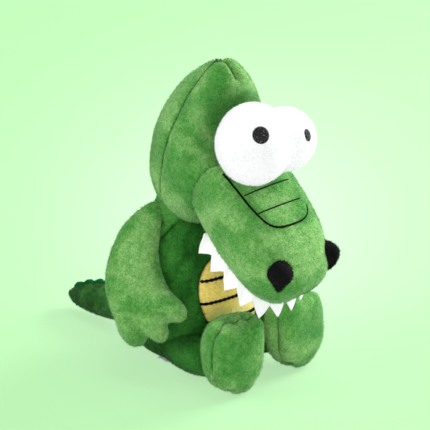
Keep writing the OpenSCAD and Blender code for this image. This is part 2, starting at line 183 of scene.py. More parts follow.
def plush(name, light, middle_tone, dark, patch_mm=34, rim=1.0, pile_mm=1.1, depth=0.66, shoulder_tone_less_shaded=None):
    """Brushed polyester pile. It lies in broad soft patches that catch the light differently, its
    rims look lighter because the pile is seen along its length, and a seam shows as a thin dark line.
    The same seam mark also carries painted shade. A shoulder colour, when given, is painted on the
    shoulders beyond their seam: a plush darkened with painted shade is lighter there, with less of it."""
    material, t = new_material(name)
    place = add(t, "ShaderNodeTexCoord").outputs["Object"]
    nap = add(t, "ShaderNodeTexNoise", Vector=place, Scale=1000 / patch_mm, Detail=1.2, Roughness=0.45,
              Distortion=0.7).outputs["Fac"]
    stroke = add(t, "ShaderNodeTexNoise", Vector=place, Scale=1000 / 4.2, Detail=3.0, Roughness=0.65,
                 Distortion=0.3).outputs["Fac"]
    tuft = add(t, "ShaderNodeTexNoise", Vector=place, Scale=1000 / pile_mm, Detail=2.0,
               Roughness=0.75).outputs["Fac"]
    patches = add(t, "ShaderNodeMapRange", {"interpolation_type": "SMOOTHSTEP"}, Value=nap, From_Min=0.34,
                  From_Max=0.66).outputs[0]
    strokes = add(t, "ShaderNodeMapRange", Value=stroke, From_Min=0.3, From_Max=0.7).outputs[0]
    fine = add(t, "ShaderNodeMath", {"operation": "MULTIPLY"}, _0=strokes, _1=0.44).outputs[0]
    mottle = add(t, "ShaderNodeMath", {"operation": "MULTIPLY_ADD"}, _0=patches, _1=0.54, _2=fine).outputs[0]
    ramp = add(t, "ShaderNodeValToRGB", Fac=mottle)
    ramp.color_ramp.elements[0].position = 0.1
    ramp.color_ramp.elements[0].color = linear(dark)
    ramp.color_ramp.elements[1].position = 0.92
    ramp.color_ramp.elements[1].color = linear(light)
    ramp.color_ramp.elements.new(0.5).color = linear(middle_tone)
    deep = add(t, "ShaderNodeMapRange", Value=tuft, From_Min=0.36, From_Max=0.6, To_Min=depth,
               To_Max=1.15).outputs[0]
    tone = ramp.outputs[0]
    if shoulder_tone_less_shaded:
        both_sides = add(t, "ShaderNodeVectorMath", {"operation": "ABSOLUTE"}, _0=place).outputs[0]
        beyond = add(t, "ShaderNodeVectorMath", {"operation": "DOT_PRODUCT"}, _0=both_sides,
                     _1=SHOULDER_SEAM).outputs["Value"]
        share = add(t, "ShaderNodeMapRange", Value=beyond, From_Min=-0.0748, From_Max=-0.0728, To_Min=0.85,
                    To_Max=0.0).outputs[0]
        tone = blend_colours(t, share, tone, linear(shoulder_tone_less_shaded))
    shaded = add(t, "ShaderNodeVectorMath", {"operation": "SCALE"}, Vector=tone, Scale=deep).outputs[0]
    # The seam mark darkens the colour: thin dark lines along the seams, and painted shade where a piece marks
    # it away from them.
    seam = add(t, "ShaderNodeAttribute", {"attribute_name": "seam"}).outputs["Fac"]
    sewn = blend_colours(t, seam, shaded, tuple(c * 0.16 for c in linear(dark)[:3]) + (1,))
    height = add(t, "ShaderNodeMath", {"operation": "MULTIPLY_ADD"}, _0=stroke, _1=1.2, _2=tuft).outputs[0]
    bump = add(t, "ShaderNodeBump", Height=height, Strength=0.7, Distance=0.0011).outputs[0]
    skin = add(t, "ShaderNodeBsdfPrincipled", Base_Color=sewn, Roughness=0.95, Normal=bump,
               Specular_IOR_Level=0.1, Sheen_Weight=rim, Sheen_Roughness=0.4,
               Sheen_Tint=tuple(0.6 * c + 0.3 for c in linear(light)))
    add(t, "ShaderNodeOutputMaterial", Surface=skin.outputs[0])
    return material


def rounded(c, n):
    return math.copysign(abs(c) ** (2 / n), c)


def in_fixed_order(bm):
    """The same mesh with its corners and faces in one order. A sphere's own order changes from run
    to run, and the pile is sown face by face."""
    corners = sorted(bm.verts, key=lambda v: v.co[:])
    place_of = {v: i for i, v in enumerate(corners)}
    faces = []
    for face in bm.faces:
        round_it = [place_of[v] for v in face.verts]
        first = round_it.index(min(round_it))
        faces.append(round_it[first:] + round_it[:first])
    ordered = bmesh.new()
    placed = [ordered.verts.new(v.co) for v in corners]
    for round_it in sorted(faces):
        ordered.faces.new([placed[i] for i in round_it])
    bm.free()
    return ordered


def stuffed(name, form, sides=64, rings=48):
    """A ball drawn out along a bent spine into one stuffed form: [start, bend, end, half width, half
    depth, fullness at start, fullness at end, squareness, side direction], in millimetres."""
    start, bend, end = (Vector(p) for p in form[:3])
    wide, deep, p, q, square, side = form[3:9]
    bm = bmesh.new()
    bmesh.ops.create_uvsphere(bm, u_segments=sides, v_segments=rings, radius=1)
    for v in bm.verts:
        along = min(max((1 - v.co.z) / 2, 0), 1)
        turn = math.atan2(v.co.y, v.co.x)
        heading = ((1 - along) * (bend - start) + along * (end - bend)).normalized()
        across = (Vector(side) - heading * heading.dot(Vector(side))).normalized()
        centre = (1 - along) ** 2 * start + 2 * along * (1 - along) * bend + along ** 2 * end
        girth = (along * (p + q) / p) ** p * ((1 - along) * (p + q) / q) ** q
        v.co = (centre + across * (wide * girth * rounded(math.cos(turn), square))
                + heading.cross(across) * (deep * girth * rounded(math.sin(turn), square))) * MM
    bmesh.ops.recalc_face_normals(bm, faces=bm.faces)
    return place_piece(name, in_fixed_order(bm))


def smooth(piece):
    for polygon in piece.data.polygons:
        polygon.use_smooth = True


def settle(piece, *modifiers):
    """Applies modifiers, given as (kind, settings), to the mesh of a piece."""
    for kind, settings in modifiers:
        modifier = piece.modifiers.new(kind, kind)
        for name, value in settings.items():
            setattr(modifier, name, value)
    bpy.context.view_layer.update()
    finished = bpy.data.meshes.new_from_object(piece.evaluated_get(bpy.context.evaluated_depsgraph_get()))
    piece.modifiers.clear()
    piece.data = finished
    smooth(piece)


def swell(piece, held, cap_mm=2.5, voxel_mm=4.5, pressure=4.0, floor_z=None):
    """Fills a fabric cover: remeshed as even cloth, blown up against its seams, and refined. held
    says how firmly each point is held by the seams, from 0 to 1."""
    settle(piece, ("REMESH", {"mode": "VOXEL", "voxel_size": voxel_mm * MM, "use_smooth_shade": True}))
    if floor_z is not None:
        for v in piece.data.vertices:
            v.co.z = max(v.co.z, floor_z)
    seams = piece.vertex_groups.new(name="seams")
    for v in piece.data.vertices:
        seams.add([v.index], min(max(held(v.co / MM), 0.0), 1.0), "REPLACE")
    rest = [v.co.copy() for v in piece.data.vertices]
    cloth = piece.modifiers.new("cloth", "CLOTH")
    cloth.settings.use_pressure = True
    cloth.settings.uniform_pressure_force = pressure
    cloth.settings.effector_weights.gravity = 0
    cloth.settings.vertex_group_mass = "seams"
    for moment in range(1, 21):
        scene.frame_set(moment)
    blown = piece.evaluated_get(bpy.context.evaluated_depsgraph_get()).to_mesh()
    moved = [v.co.copy() for v in blown.vertices]
    piece.modifiers.clear()
    scene.frame_set(1)
    for v, a, b in zip(piece.data.vertices, rest, moved):
        shift = b - a
        if shift.length > cap_mm * MM:
            shift *= cap_mm * MM / shift.length
        v.co = a + shift
    piece.vertex_groups.clear()
    settle(piece, ("SUBSURF", {"levels": 2, "render_levels": 2}))


def draw_to_seam(piece, side_of, panel):
    """Draws the nearest points of the cloth onto a seam, and numbers the faces beyond it."""
    bm = bmesh.new()
    bm.from_mesh(piece.data)
    number = bm.faces.layers.int.get("panel") or bm.faces.layers.int.new("panel")
    value = {v: side_of(v.co / MM) for v in bm.verts}
    for edge in bm.edges:
        a, b = edge.verts
        if value[a] * value[b] < 0:
            near, far = (a, b) if abs(value[a]) < abs(value[b]) else (b, a)
            near.co = near.co.lerp(far.co, value[near] / (value[near] - value[far]))
            value[near] = 0
    on_seam = [v for v in bm.verts if value[v] == 0]
    bmesh.ops.connect_verts(bm, verts=on_seam)
    for face in bm.faces:
        if max((value.get(v, 0) for v in face.verts), key=abs) > 0:
            face[number] = panel
    bm.to_mesh(piece.data)
    bm.free()


def crumple(piece, seam_gap, groove_mm=1.2, line_mm=0.5, soft_mm=0.9, pucker_mm=0.5, floor_z=None):
    """Sinks the seams into the pile, gathers small puckers beside them and gives the filling its
    lumps. seam_gap gives a point's distance to the nearest seam, in millimetres."""
    mesh = piece.data
    mark = mesh.attributes.get("seam") or mesh.attributes.new("seam", "FLOAT", "POINT")
    normals = [v.normal.copy() for v in mesh.vertices]
    for v, n in zip(mesh.vertices, normals):
        at = v.co / MM
        gap = seam_gap(at)
        lump = noise.noise(at / 26) * soft_mm + noise.noise(at / 9 + Vector((5, 2, 9))) * soft_mm * 0.35
        near = math.exp(-(gap / 7) ** 2)
        pucker = noise.noise(at / 3.2 + Vector((1, 7, 3))) * pucker_mm * near
        sink = groove_mm * math.exp(-(gap / 1.5) ** 2) + 0.5 * groove_mm * math.exp(-(gap / 4.5) ** 2)
        mark.data[v.index].value = 0.95 * math.exp(-(gap / line_mm) ** 2)
        v.co = v.co + n * (lump + pucker - sink) * MM
        if floor_z is not None and v.co.z < floor_z:
            v.co.z = floor_z
    mesh.update()


def panel_of(piece, name, number, material, slot="green_plush", wall_mm=1.2):
    """One panel of a sewn cover as a piece of its own, with the thickness of the cloth and its pile."""
    bm = bmesh.new()
    bm.from_mesh(piece.data)
    layer = bm.faces.layers.int.get("panel")
    bmesh.ops.delete(bm, geom=[f for f in bm.faces if f[layer] != number], context="FACES")
    panel = place_piece(name, bm)
    panel.data.materials.append(material)
    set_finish(panel, slot)
    pile = pile_of(panel)
    settle(panel, ("SOLIDIFY", {"thickness": wall_mm * MM, "offset": -1, "use_even_offset": False}))
    return panel, pile


def pile_of(panel, per_mm2=0.9, long_mm=1.45, nap=(0, -0.15, -1)):
    """The tips of the pile that stand off a panel: short blades that lean down along the nap."""
    shake = random.Random(len(panel.data.vertices))
    nap = Vector(nap)

    def astray():
        return shake.uniform(-1, 1)

    mesh = panel.data
    bm = bmesh.new()
    for polygon in mesh.polygons:
        many = polygon.area / MM ** 2 * per_mm2
        many = int(many) + (shake.random() < many % 1)
        if not many:
            continue
        corners = [mesh.vertices[i].co for i in polygon.vertices]
        out = polygon.normal
        lean = (nap - out * nap.dot(out)) * 0.75
        for _ in range(many):
            a, b = shake.random(), shake.random()
            foot = corners[0].lerp(corners[1], a).lerp(corners[-1].lerp(corners[-2], a), b)
            grow = out + lean + Vector((astray(), astray(), astray())) * 0.45
            grow = grow.normalized() * long_mm * shake.uniform(0.6, 1.15) * MM
            wide = grow.cross(out + Vector((astray(), astray(), 0)) * 0.6)
            wide = wide.normalized() * 0.24 * MM
            root = foot - out * 0.4 * MM
            blade = [bm.verts.new(p) for p in (root - wide, root + wide, foot + grow)]
            for v in blade:
                v.co.z = max(v.co.z, 0.1 * MM)
            bm.faces.new(blade)
    pile = place_piece(panel.name.replace("_plush", "_pile"), bm)
    pile.data.materials.append(panel.data.materials[0])
    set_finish(pile, panel["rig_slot"])
    return pile


def discard(piece):
    bpy.data.objects.remove(piece, do_unlink=True)


# Green pile: a warm mid green, brushed lighter and darker by handling.
green_plush = plush("green short-pile plush, brushed", "#90c673", "#62a84e", "#3e9035")
# Painted shade: the torso, neck and legs have a darker green than the head, for the shade they lie in under
# the head and snout. The shoulders beyond their seam are painted lighter, with less shade.
shaded_green_plush = plush("green short-pile plush, brushed down", "#428a38", "#2c7225", "#1c541a", rim=0.15,
                    shoulder_tone_less_shaded="#57a046")
belly_plush = plush("yellow short-pile plush, brushed", "#fff5a4", "#ffea8a", "#fae074", rim=0.3,
                     depth=0.86)

across = (1, 0, 0)
side_seam_y = 1
belly_half_wide, belly_half_high, belly_z = 28.5, 32.5, 58
torso_form = [(0, -18, -3), (0, -13, 60.3), (0, -5, 134), 48, 55, 0.5, 0.95, 2, across]


def belly_edge(p):
    """How far a point is inside the oval of the belly panel, in millimetres."""
    r = math.hypot(p.x / belly_half_wide, (p.z - belly_z) / belly_half_high)
    return (1 - r) * 28 if p.y < -10 else -30


def torso_seams(p):
    """Distance to the nearest seam: the sides, the belly panel, the seat or the shoulders."""
    side = abs(p.y - side_seam_y) if p.z < 100 else 20
    shoulder = abs(Vector((abs(p.x), abs(p.y), p.z)).dot(Vector(SHOULDER_SEAM)) + 73.3) if p.z > 92 else 20
    return min(side, abs(belly_edge(p)), abs(p.z - 1) * 3, shoulder)


torso = stuffed("torso cover", torso_form)
swell(torso, lambda p: max(1 - abs(p.y - side_seam_y) / 6, 1 - abs(belly_edge(p)) / 5, 1 - p.z / 10),
      floor_z=0.0)
draw_to_seam(torso, lambda p: p.y - side_seam_y, 2)
draw_to_seam(torso, belly_edge, 1)
crumple(torso, torso_seams, floor_z=0.0)
torso_front = panel_of(torso, "torso_front_plush", 0, shaded_green_plush)
torso_back = panel_of(torso, "torso_back_plush", 2, shaded_green_plush)
belly_panel = panel_of(torso, "belly_panel_plush", 1, belly_plush, "belly_plush")
torso_skin = BVHTree.FromObject(torso, bpy.context.evaluated_depsgraph_get())
discard(torso)
for (panel, pile), nodes in ((torso_front, ("torso_front", "torso_filling", "pellet_bag")),
                             (torso_back, ("torso_back",)), (belly_panel, ("belly_panel",))):
    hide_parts(*nodes)
    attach(panel, "torso")
    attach(pile, "torso")


# ---- Neck ---------------------------------------------------------------------------------------
# A short round stump of the same plush is sewn to the top of the torso, and the head sits on it.
neck = stuffed("neck_plush", [(0, -6, 91), (1, -7, 114), (3, -10, 137), 22, 22, 0.5, 0.6, 2, across], 48, 32)
# Painted shade: the neck has the torso's green, darkened for the shade under the head.
neck.data.materials.append(shaded_green_plush)
crumple(neck, lambda p: 50, soft_mm=0.5)
smooth(neck)
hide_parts("neck_plug")
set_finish(neck, "green_plush")
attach(neck, "torso")
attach(pile_of(neck), "torso")


# ---- Belly lines --------------------------------------------------------------------------------
# Three lines of black satin stitch run across the belly panel. The thread is thick and slightly
# glossy, and its stitches show as small beads along the line.
thread_black, t = new_material("black polyester thread, satin stitch")
place = add(t, "ShaderNodeTexCoord").outputs["Object"]
twist = add(t, "ShaderNodeTexNoise", Vector=place, Scale=1000 / 0.8, Detail=1.0).outputs["Fac"]
strand = blend_colours(t, twist, linear("#030303"), linear("#0c0c0d"))
thread_skin = add(t, "ShaderNodeBsdfPrincipled", Base_Color=strand, Roughness=0.85, Specular_IOR_Level=0.12)
add(t, "ShaderNodeOutputMaterial", Surface=thread_skin.outputs[0])


def stitched_line(name, runs, skin, facing, dia_mm, stitch_mm=3.2, thin_end=False):
    """Rows of stitches, one for each run of points, laid on the cloth that faces that way and half
    sunk in its pile."""
    bm = bmesh.new()
    for run in runs:
        spots = []
        for a, b in zip(run, run[1:]):
            steps = max(int((Vector(b) - Vector(a)).length / 0.8), 1)
            spots += [Vector(a).lerp(Vector(b), i / steps) for i in range(steps)]
        spots.append(Vector(run[-1]))
        laid = []
        for spot in spots:
            hit, out, _, _ = skin.ray_cast((spot + facing * 20) * MM, -facing)
            laid.append((hit, out))
        ring = None
        length = 0.0
        for i, (at, out) in enumerate(laid):
            before, after = laid[max(i - 1, 0)][0], laid[min(i + 1, len(laid) - 1)][0]
            ahead = (after - before).normalized()
            side = ahead.cross(out).normalized()
            length += (at - before).length / MM
            bead = 0.62 + 0.58 * abs(math.sin(math.pi * length / stitch_mm))
            end = 0.45 if i in (0, len(laid) - 1) else 1.0
            if thin_end:
                end *= 1 - 0.6 * max(i / len(laid) * 3.2 - 2.2, 0)
            radius = dia_mm / 2 * bead * end * MM
            if ring is None:
                ring = bmesh.ops.create_circle(bm, segments=8, radius=1, cap_ends=True)["verts"]
            else:
                edges = {e for v in ring for e in v.link_edges if all(w in ring for w in e.verts)}
                new = bmesh.ops.extrude_edge_only(bm, edges=sorted(edges, key=lambda e: e.index))["geom"]
                bm.verts.index_update()
                bm.edges.index_update()
                fresh = [g for g in new if isinstance(g, bmesh.types.BMVert)]
                ring = [next(w for e in v.link_edges for w in e.verts if w in fresh) for v in ring]
            for k, v in enumerate(ring):
                turn = 2 * math.pi * k / 8
                v.co = (at + out * (0.25 * radius + 0.85 * radius * math.sin(turn))
                        + side * radius * math.cos(turn))
        bmesh.ops.contextual_create(bm, geom=ring)
    bmesh.ops.recalc_face_normals(bm, faces=bm.faces)
    piece = place_piece(name, in_fixed_order(bm))
    smooth(piece)
    return piece


belly_runs = []
for z in (45.5, 60.5, 75.5):
    half = belly_half_wide * math.sqrt(1 - ((z - belly_z) / belly_half_high) ** 2) - 0.5
    belly_runs.append([(x, -75, z - 2.5 * (x / 26) ** 2) for x in (half * k / 8 for k in range(-8, 9))])
belly_lines = stitched_line("belly_line_stitches", belly_runs, torso_skin, Vector((0, -1, 0)), 2.3, 3.6)
belly_lines.data.materials.append(thread_black)
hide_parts("belly_lines")
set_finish(belly_lines, "black_thread")
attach(belly_lines, "torso")


# ---- Care label ---------------------------------------------------------------------------------
# A blank loop of woven satin ribbon, caught in the bottom seam behind the right leg.
label_satin, t = new_material("woven satin ribbon, off-white")
place = add(t, "ShaderNodeTexCoord").outputs["Object"]
weave = add(t, "ShaderNodeTexWave", {"bands_direction": "Z"}, Vector=place, Scale=1000 / 1.2).outputs["Fac"]
ribbon_tone = blend_colours(t, weave, linear("#c3c5c6"), linear("#e6e8e8"))
label_skin = add(t, "ShaderNodeBsdfPrincipled", Base_Color=ribbon_tone, Roughness=0.5)
add(t, "ShaderNodeOutputMaterial", Surface=label_skin.outputs[0])
low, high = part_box("care_label")
bm = bmesh.new()
bmesh.ops.create_grid(bm, x_segments=8, y_segments=8, size=0.5)
ribbon_shown, ribbon_wide = high[0] - low[0] + 0.004, 0.0125
bmesh.ops.scale(bm, vec=(ribbon_shown, ribbon_wide, 1), verts=bm.verts)
middle = (Vector(low) + Vector(high)) / 2
for v in bm.verts:
    v.co = Vector((v.co.x + middle.x, v.co.y + middle.y, middle.z + 0.0007 * math.sin(v.co.x / MM * 0.5)
                   + 0.0005 * math.sin(v.co.y / MM * 0.6)))
care_label = place_piece("care_label_ribbon", bm)
settle(care_label, ("SOLIDIFY", {"thickness": 0.0004, "offset": 0}))
care_label.data.materials.append(label_satin)
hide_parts("care_label")
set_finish(care_label, "label")
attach(care_label, "torso")


# ---- Head ---------------------------------------------------------------------------------------
# The head is two panels, front and back, sewn together down the sides and over the crown, where a
# short dart takes up the fullness. It leans forward and its lower edge is sewn to the torso.
head_top, dart_from = 249, 212
head_form = [(0, -10, 111), (0, -44, 186), (0, -56, head_top), 39, 43, 0.5, 0.76, 2, across]


def head_side(p):
    """How far a point lies behind the seam down the sides of the head."""
    lean = math.radians(16.1)
    return (p.y + 200) * math.cos(lean) + (p.z - 90) * math.sin(lean) - 191.4


def dart(p):
    """Distance to the dart that runs down the front of the crown."""
    return 20 if head_side(p) > 0 else math.hypot(p.x + 1, max(234 - p.z, 0))


head = stuffed("head cover", head_form)
swell(head, lambda p: max(1 - abs(head_side(p)) / 6, 1 - dart(p) / 5, (122 - p.z) / 8))
draw_to_seam(head, head_side, 1)
normals = [v.normal.copy() for v in head.data.vertices]
for v, out in zip(head.data.vertices, normals):
    p = v.co / MM
    if p.z > dart_from:
        high = (p.z - dart_from) / (head_top - dart_from)
        notch = 3.0 * high ** 2 * math.exp(-(dart(p) / 3.2) ** 2)
        tuck = 1.6 * high * math.exp(-(dart(p) / 9) ** 2)
        v.co -= out * (notch + tuck) * MM
crumple(head, lambda p: min(abs(head_side(p)), dart(p)))
# Painted shade: round the eyes the head is darkened through its seam mark, for the shade that the eyes cast
# on it.
eye_right_at, eye_left_at = Vector((-16, -98, 195)), Vector((15.5, -98, 190))
for v, mark in zip(head.data.vertices, head.data.attributes["seam"].data):
    gap = min((v.co / MM - eye_right_at).length - 30, (v.co / MM - eye_left_at).length - 24.5)
    mark.value = max(mark.value, 0.6 * math.exp(-(max(gap, 0) / 17) ** 2))
head_skin = BVHTree.FromObject(head, bpy.context.evaluated_depsgraph_get())
head_front = panel_of(head, "head_front_plush", 0, green_plush)
head_back = panel_of(head, "head_back_plush", 1, green_plush)
discard(head)
for (panel, pile), nodes in ((head_front, ("head_front", "head_filling")), (head_back, ("head_back",))):
    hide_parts(*nodes)
    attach(panel, "head")
    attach(pile, "head")


# ---- Snout --------------------------------------------------------------------------------------
# The snout cover is the top and the sides in one panel, and a smaller panel closes it underneath.
# The mouth seam between them holds the teeth.
snout_start = Vector((0, -42, 173))
snout_along = Vector((0, -math.sqrt(0.5), -math.sqrt(0.5)))
snout_up = Vector((0, -math.sqrt(0.5), math.sqrt(0.5)))
snout_long, snout_half_wide, snout_half_deep, snout_full, snout_square = 129, 40.5, 29, 0.3, 3
snout_middle, snout_end = (snout_start + snout_along * far for far in (snout_long / 2, snout_long))
snout_form = [snout_start, snout_middle, snout_end, snout_half_wide, snout_half_deep, snout_full, snout_full,
              snout_square, across]


def mouth(p):
    """How far a point lies under the mouth seam."""
    return -22 - (p - snout_start).dot(snout_up)


snout = stuffed("snout cover", snout_form, sides=80, rings=56)
swell(snout, lambda p: 1 - abs(mouth(p)) / 5, voxel_mm=4.2)
draw_to_seam(snout, mouth, 1)


def to_head(p):
    """Distance to the head, where the snout is sewn to it."""
    return head_skin.find_nearest(p * MM)[3] / MM


crumple(snout, lambda p: min(abs(mouth(p)), to_head(p)), soft_mm=1.1)
snout_cover = panel_of(snout, "snout_cover_plush", 0, green_plush)
snout_underside = panel_of(snout, "snout_underside_plush", 1, green_plush)
snout_skin = BVHTree.FromObject(snout, bpy.context.evaluated_depsgraph_get())
discard(snout)
for (panel, pile), nodes in ((snout_cover, ("snout_cover", "snout_filling")),
                             (snout_underside, ("snout_underside",))):
    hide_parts(*nodes)
    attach(panel, "head")
    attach(pile, "head")


# ---- Snout lines --------------------------------------------------------------------------------
# A long U of black satin stitch runs down the top of the snout from under the eyes, with two thin
# bars across it.
def on_snout(x, t):
    """A point on the top of the snout: x to the side, t from its start to its end."""
    both = 2 * snout_full
    girth = (t * both / snout_full) ** snout_full * ((1 - t) * both / snout_full) ** snout_full
    share = min(abs(x) / (snout_half_wide * girth), 1)
    rise = snout_half_deep * girth * (1 - share ** snout_square) ** (1 / snout_square)
    return snout_start + snout_along * (snout_long * t) + Vector((x, 0, 0)) + snout_up * rise


# The U starts high under the right eye, turns at two thirds of the snout and ends short on the left.
u_run = [on_snout(-26.8, 0.215), on_snout(-26.7, 0.245)]
for k in range(-48, 28):
    k /= 4
    wide = 2 + 28.5 * math.copysign(abs(math.sin(math.radians(7.5 * k))) ** 0.77, k)
    u_run.append(on_snout(wide, 0.27 + 0.385 * (1 - (abs(k) / 12) ** 2.6)))
snout_lines = stitched_line("snout_line_stitches", [u_run], snout_skin, snout_up, 1.75, 2.6, thin_end=True)
bars = [[on_snout(x, t) for x in (-24.5, -17, -9, -1, 7, 15, 22)] for t in (0.395, 0.525)]
thin_bars = stitched_line("snout_bar_stitches", bars, snout_skin, snout_up, 1.05, 2.3)
for piece, nodes in ((snout_lines, ("snout_lines",)), (thin_bars, ())):
    piece.data.materials.append(thread_black)
    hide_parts(*nodes)
    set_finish(piece, "black_thread")
    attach(piece, "head")


# ---- Eyes ---------------------------------------------------------------------------------------
# Two balls of white plush, the right one larger, are sewn to the head and to each other.
white_plush = plush("white short-pile plush, brushed", "#f9fafa", "#f5f6f7", "#eef0f1", rim=0.1,
                    depth=0.96)


def ball_form(at, dia, high):
    reach = Vector((0, 0, high / 2))
    return [at - reach, at, at + reach, dia / 2, dia / 2, 0.5, 0.5, 2, across]


eye_skins = {}
for side, at, dia, high in (("right", eye_right_at, 57, 63), ("left", eye_left_at, 49, 49)):
    eye = stuffed("eye_" + side + "_plush", ball_form(at, dia, high))
    swell(eye, lambda p: (p.y - at.y) / 12, cap_mm=1.0, voxel_mm=3.6)
    crumple(eye, lambda p: 50, soft_mm=0.6)
    eye.data.materials.append(white_plush)
    eye_skins[side] = BVHTree.FromObject(eye, bpy.context.evaluated_depsgraph_get())
    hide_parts("eye_" + side, "eye_" + side + "_filling")
    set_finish(eye, "white_plush")
    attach(eye, "head")
    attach(pile_of(eye, 0.7, 1.0), "head")


# ---- Pupils -------------------------------------------------------------------------------------
# Each pupil is a spot of black satin stitch. The left one is seen as a narrow oval. The thread
# catches the light in small flecks.
pupil_thread, t = new_material("black polyester thread, dense satin stitch")
place = add(t, "ShaderNodeTexCoord").outputs["Object"]
glint = add(t, "ShaderNodeTexNoise", Vector=place, Scale=1000 / 1.3, Detail=2.0, Roughness=0.6).outputs["Fac"]
fleck = add(t, "ShaderNodeMapRange", Value=glint, From_Min=0.58, From_Max=0.7).outputs[0]
thread_tone = blend_colours(t, fleck, linear("#0f0f11"), linear("#77787c"))
spot_skin = add(t, "ShaderNodeBsdfPrincipled", Base_Color=thread_tone, Roughness=0.65, Specular_IOR_Level=0.3)
add(t, "ShaderNodeOutputMaterial", Surface=spot_skin.outputs[0])


def pupil(name, skin, at, towards, wide_mm, high_mm):
    """An oval of stitches on the eye ball at that place, on the side that faces towards."""
    towards = Vector(towards).normalized()
    side = Vector((0, 0, 1)).cross(towards).normalized()
    top = towards.cross(side)
    bm = bmesh.new()
    bmesh.ops.create_uvsphere(bm, u_segments=32, v_segments=12, radius=1)
    for v in bm.verts:
        spot = at * MM + (side * v.co.x * wide_mm / 2 + top * v.co.y * high_mm / 2) * MM
        hit, out, _, _ = skin.ray_cast(spot + towards * 0.08, -towards)
        ridge = 0.12 * math.sin(v.co.x * wide_mm / 2 * 2.6)
        v.co = hit + towards * (0.7 * v.co.z + ridge * (v.co.z > 0)) * MM
    bmesh.ops.recalc_face_normals(bm, faces=bm.faces)
    piece = place_piece(name, in_fixed_order(bm))
    smooth(piece)
    piece.data.materials.append(pupil_thread)
    return piece


for side, at, towards, wide, high in (("right", eye_right_at, (-0.438, -0.702, 0.56), 12.7, 13.2),
                                      ("left", eye_left_at, (0.12, -0.93, 0.36), 6.8, 9.8)):
    piece = pupil("pupil_" + side + "_stitches", eye_skins[side], at, towards, wide, high)
    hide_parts("pupil_" + side)
    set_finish(piece, "black_thread")
    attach(piece, "head")


# ---- Nostrils -----------------------------------------------------------------------------------
# Two small stuffed drops of black plush, each with its point tucked down, sewn to the snout tip.
black_plush = plush("black short-pile plush", "#161617", "#0b0b0c", "#060606", rim=0.08)
out = Vector((-0.45, -0.88, 0.12)).normalized()
nostril_at = Vector((-23, -132, 104.5))
flat_side = Vector((0.88, -0.45, 0)).normalized()
nostril_form = [nostril_at - out * 8, nostril_at, nostril_at + out * 15, 9.5, 9.5, 0.3, 0.45, 2, flat_side]
for name, mirror in (("nostril_right", 1), ("nostril_left", -1)):
    nostril = stuffed(name + "_plush", nostril_form, 40, 28)
    for v in nostril.data.vertices:
        p = v.co / MM
        low = nostril_at.z - 3 - p.z
        if low > 0:
            beside = (p - nostril_at).dot(flat_side)
            v.co.z -= 0.85 * low * MM * math.exp(-((beside + 1.5) / 3.2) ** 2)
        if mirror < 0:
            v.co += Vector((-4.5, 4, 0)) * MM - out * max((p - nostril_at).dot(out) - 3, 0) * 0.22 * MM
        v.co.x *= mirror
    if mirror < 0:
        nostril.data.flip_normals()
    smooth(nostril)
    crumple(nostril, lambda p: 50, soft_mm=0.5)
    nostril.data.materials.append(black_plush)
    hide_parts(name)
    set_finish(nostril, "black_plush")
    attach(nostril, "head")
    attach(pile_of(nostril, 1.6, 1.6), "head")


# ---- Teeth --------------------------------------------------------------------------------------
# One strip of white felt, cut into points and caught in the mouth seam all round the snout.
white_felt, t = new_material("white wool felt, cut edge")
place = add(t, "ShaderNodeTexCoord").outputs["Object"]
fibres = add(t, "ShaderNodeTexNoise", Vector=place, Scale=1000 / 1.4, Detail=3.0).outputs["Fac"]
felt_tone = blend_colours(t, fibres, linear("#f4f6f4"), linear("#ffffff"))
felt_bump = add(t, "ShaderNodeBump", Height=fibres, Strength=0.3, Distance=0.0004).outputs[0]
felt_skin = add(t, "ShaderNodeBsdfPrincipled", Base_Color=felt_tone, Roughness=0.95, Normal=felt_bump,
                Specular_IOR_Level=0.1)
add(t, "ShaderNodeOutputMaterial", Surface=felt_skin.outputs[0])


def mouth_point(turn, out_mm=0.0):
    """A point on the mouth seam: turn goes from 0 at one cheek over 90 at the tip to 180."""
    c, s = math.cos(math.radians(turn)), math.sin(math.radians(turn))
    return (snout_start + snout_along * (56 + (65 + out_mm) * rounded(s, 3))
            + Vector(((37 + out_mm) * rounded(c, 3), 0, 0)) + snout_up * -19)


seam_length = [0.0]
for turn in range(0, 180):
    seam_length.append(seam_length[-1] + (mouth_point(turn + 1) - mouth_point(turn)).length)


def turn_at(share):
    """The turn at which that share of the seam's length is reached."""
    want = share * seam_length[-1]
    i = next(i for i in range(180) if seam_length[i + 1] >= want - 1e-9)
    return i + (want - seam_length[i]) / (seam_length[i + 1] - seam_length[i])


felt_mm = 1.4
teeth = 12
per_tooth = 12
bm = bmesh.new()
bmesh.ops.create_grid(bm, x_segments=teeth * per_tooth, y_segments=10, size=0.5)
lengths = [11.6 + random.uniform(-0.9, 0.9) for _ in range(teeth)]
for v in bm.verts:
    share = min(max(v.co.x + 0.5, 0), 1)
    down = 0.5 - v.co.y
    turn = turn_at(share)
    s, c = math.sin(math.radians(turn)), math.cos(math.radians(turn))
    fall = (Vector((0, 0, -1)) * s - snout_up * abs(c)).normalized()
    tooth = min(int(share * teeth), teeth - 1)
    point = 1 - abs((share * teeth - tooth) * 2 - 1)
    reach = 5.6 * min(share * teeth * 3, (1 - share) * teeth * 3, 1) + lengths[tooth] * point
    seat = snout_skin.find_nearest(mouth_point(turn) * MM)[0] / MM
    spot = seat - fall * 3 + fall * reach * down
    outward = (mouth_point(turn, 5) - mouth_point(turn)).normalized()
    flare = 4.5 * min(max((turn - 70) / 60, 0), 1) + 5.0 * min(max((80 - turn) / 30, 0), 1)
    v.co = (spot + outward * (flare + 0.5 * math.sin(share * 70 + down * 2)) * down) * MM
bmesh.ops.recalc_face_normals(bm, faces=bm.faces)
felt_area = sum(f.calc_area() for f in bm.faces)
teeth_strip = place_piece("teeth_felt", bm)
